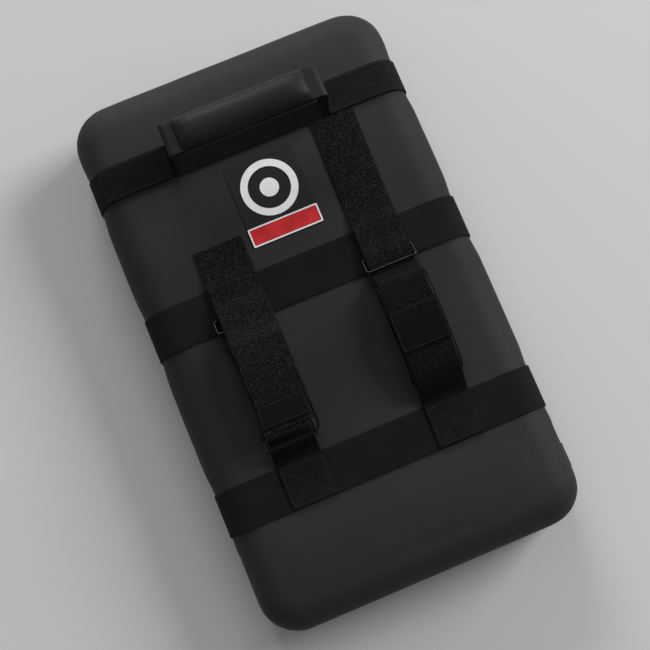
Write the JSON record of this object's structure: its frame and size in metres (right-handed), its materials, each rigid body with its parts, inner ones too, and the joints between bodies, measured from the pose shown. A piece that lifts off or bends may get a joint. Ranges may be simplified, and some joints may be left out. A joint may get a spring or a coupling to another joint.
{
  "type": "kick shield",
  "caption": "Rectangular padded strike shield with a zipped cover, foam layers, webbing bands, a padded grip handle and adjustable forearm straps on its rear face.",
  "frame": {"origin": "centre of the flat strike face, on the surface the shield lies on", "axes": "+Z out of the rear face, where the handle and straps are; +Y along the pad towards the handle; +X to the right when the rear face is seen"},
  "size_m": [0.3714, 0.6124, 0.1767],
  "materials": {
    "leatherette": "matte grained synthetic leather",
    "eva_foam": "closed-cell foam sheet",
    "core_foam": "open-cell foam block",
    "webbing": "ribbed woven webbing",
    "loop_tape": "brushed loop pile",
    "hook_tape": "hook tape",
    "steel_wire": "polished wire",
    "zipper_metal": "black enamelled metal",
    "zipper_coil": "nylon coil",
    "badge_black": "printed film",
    "badge_white": "printed film",
    "badge_red": "printed film"
  },
  "bodies": {
    "pad": {"front_cover": "leatherette", "side_gusset": "leatherette", "rear_cover": "leatherette", "front_foam_sheet": "eva_foam", "foam_core": "core_foam", "rear_foam_sheet": "eva_foam", "top_band": "webbing", "middle_band": "webbing", "bottom_band": "webbing", "badge_base": "badge_black", "badge_circle": "badge_white", "badge_dot": "badge_white", "badge_bar_rim": "badge_white", "badge_bar": "badge_red", "handle_anchor_left": "webbing", "handle_anchor_right": "webbing", "left_ring_keeper": "webbing", "right_ring_keeper": "webbing", "left_arm_strap": "webbing", "right_arm_strap": "webbing", "left_arm_pad": "leatherette", "right_arm_pad": "leatherette", "left_pad_panel": "leatherette", "right_pad_panel": "leatherette", "left_ring_webbing": "webbing", "zipper_tape": "webbing", "zipper_coil": "zipper_coil", "zipper_stop_left": "zipper_metal", "zipper_stop_right": "zipper_metal"},
    "handle": {"handle_leg_left": "webbing", "handle_leg_right": "webbing", "handle_webbing": "webbing", "handle_foam": "eva_foam", "handle_cover": "leatherette"},
    "left_upper_ring": {"left_upper_ring": "steel_wire"},
    "right_ring": {"right_ring": "steel_wire"},
    "left_lower_ring": {"left_lower_ring": "steel_wire", "left_strap_fold": "loop_tape"},
    "left_tail": {"left_strap_tail": "loop_tape", "left_hook_patch": "hook_tape"},
    "right_tail": {"right_strap_tail": "loop_tape"},
    "zipper_slider": {"zipper_slider": "zipper_metal"},
    "zipper_pull": {"zipper_pull": "zipper_metal"}
  },
  "joints": [
    {"name": "handle_swing", "type": "hinge", "parent": "pad", "child": "handle", "pos_m": [0, 0.2115, 0.1079], "axis": [1, 0, 0], "range_deg": [-55, 65], "deforming": ["handle_leg_left", "handle_leg_right"]},
    {"name": "left_upper_ring_pivot", "type": "hinge", "parent": "pad", "child": "left_upper_ring", "pos_m": [-0.0845, 0.028, 0.1092], "axis": [1, 0, 0], "range_deg": [-8, 0]},
    {"name": "right_ring_pivot", "type": "hinge", "parent": "pad", "child": "right_ring", "pos_m": [0.086, 0.028, 0.1092], "axis": [1, 0, 0], "range_deg": [-8, 0]},
    {"name": "left_lower_ring_pivot", "type": "hinge", "parent": "pad", "child": "left_lower_ring", "pos_m": [-0.0845, -0.1215, 0.128], "axis": [1, 0, 0], "range_deg": [0, 20]},
    {"name": "left_tail_peel", "type": "hinge", "parent": "left_lower_ring", "child": "left_tail", "pos_m": [-0.0845, -0.10613, 0.13002], "axis": [1, 0, 0], "range_deg": [0, 80]},
    {"name": "right_tail_peel", "type": "hinge", "parent": "pad", "child": "right_tail", "pos_m": [0.086, 0.01363, 0.115], "axis": [1, 0, 0], "range_deg": [0, 120]},
    {"name": "zipper_slide", "type": "slide", "parent": "pad", "child": "zipper_slider", "axis": [0, -1, 0], "range_m": [0, 0.024]},
    {"name": "zipper_pull_flip", "type": "hinge", "parent": "zipper_slider", "child": "zipper_pull", "pos_m": [0.1867, -0.231, 0.044], "axis": [0, 0, 1], "range_deg": [0, 170]}
  ]
}
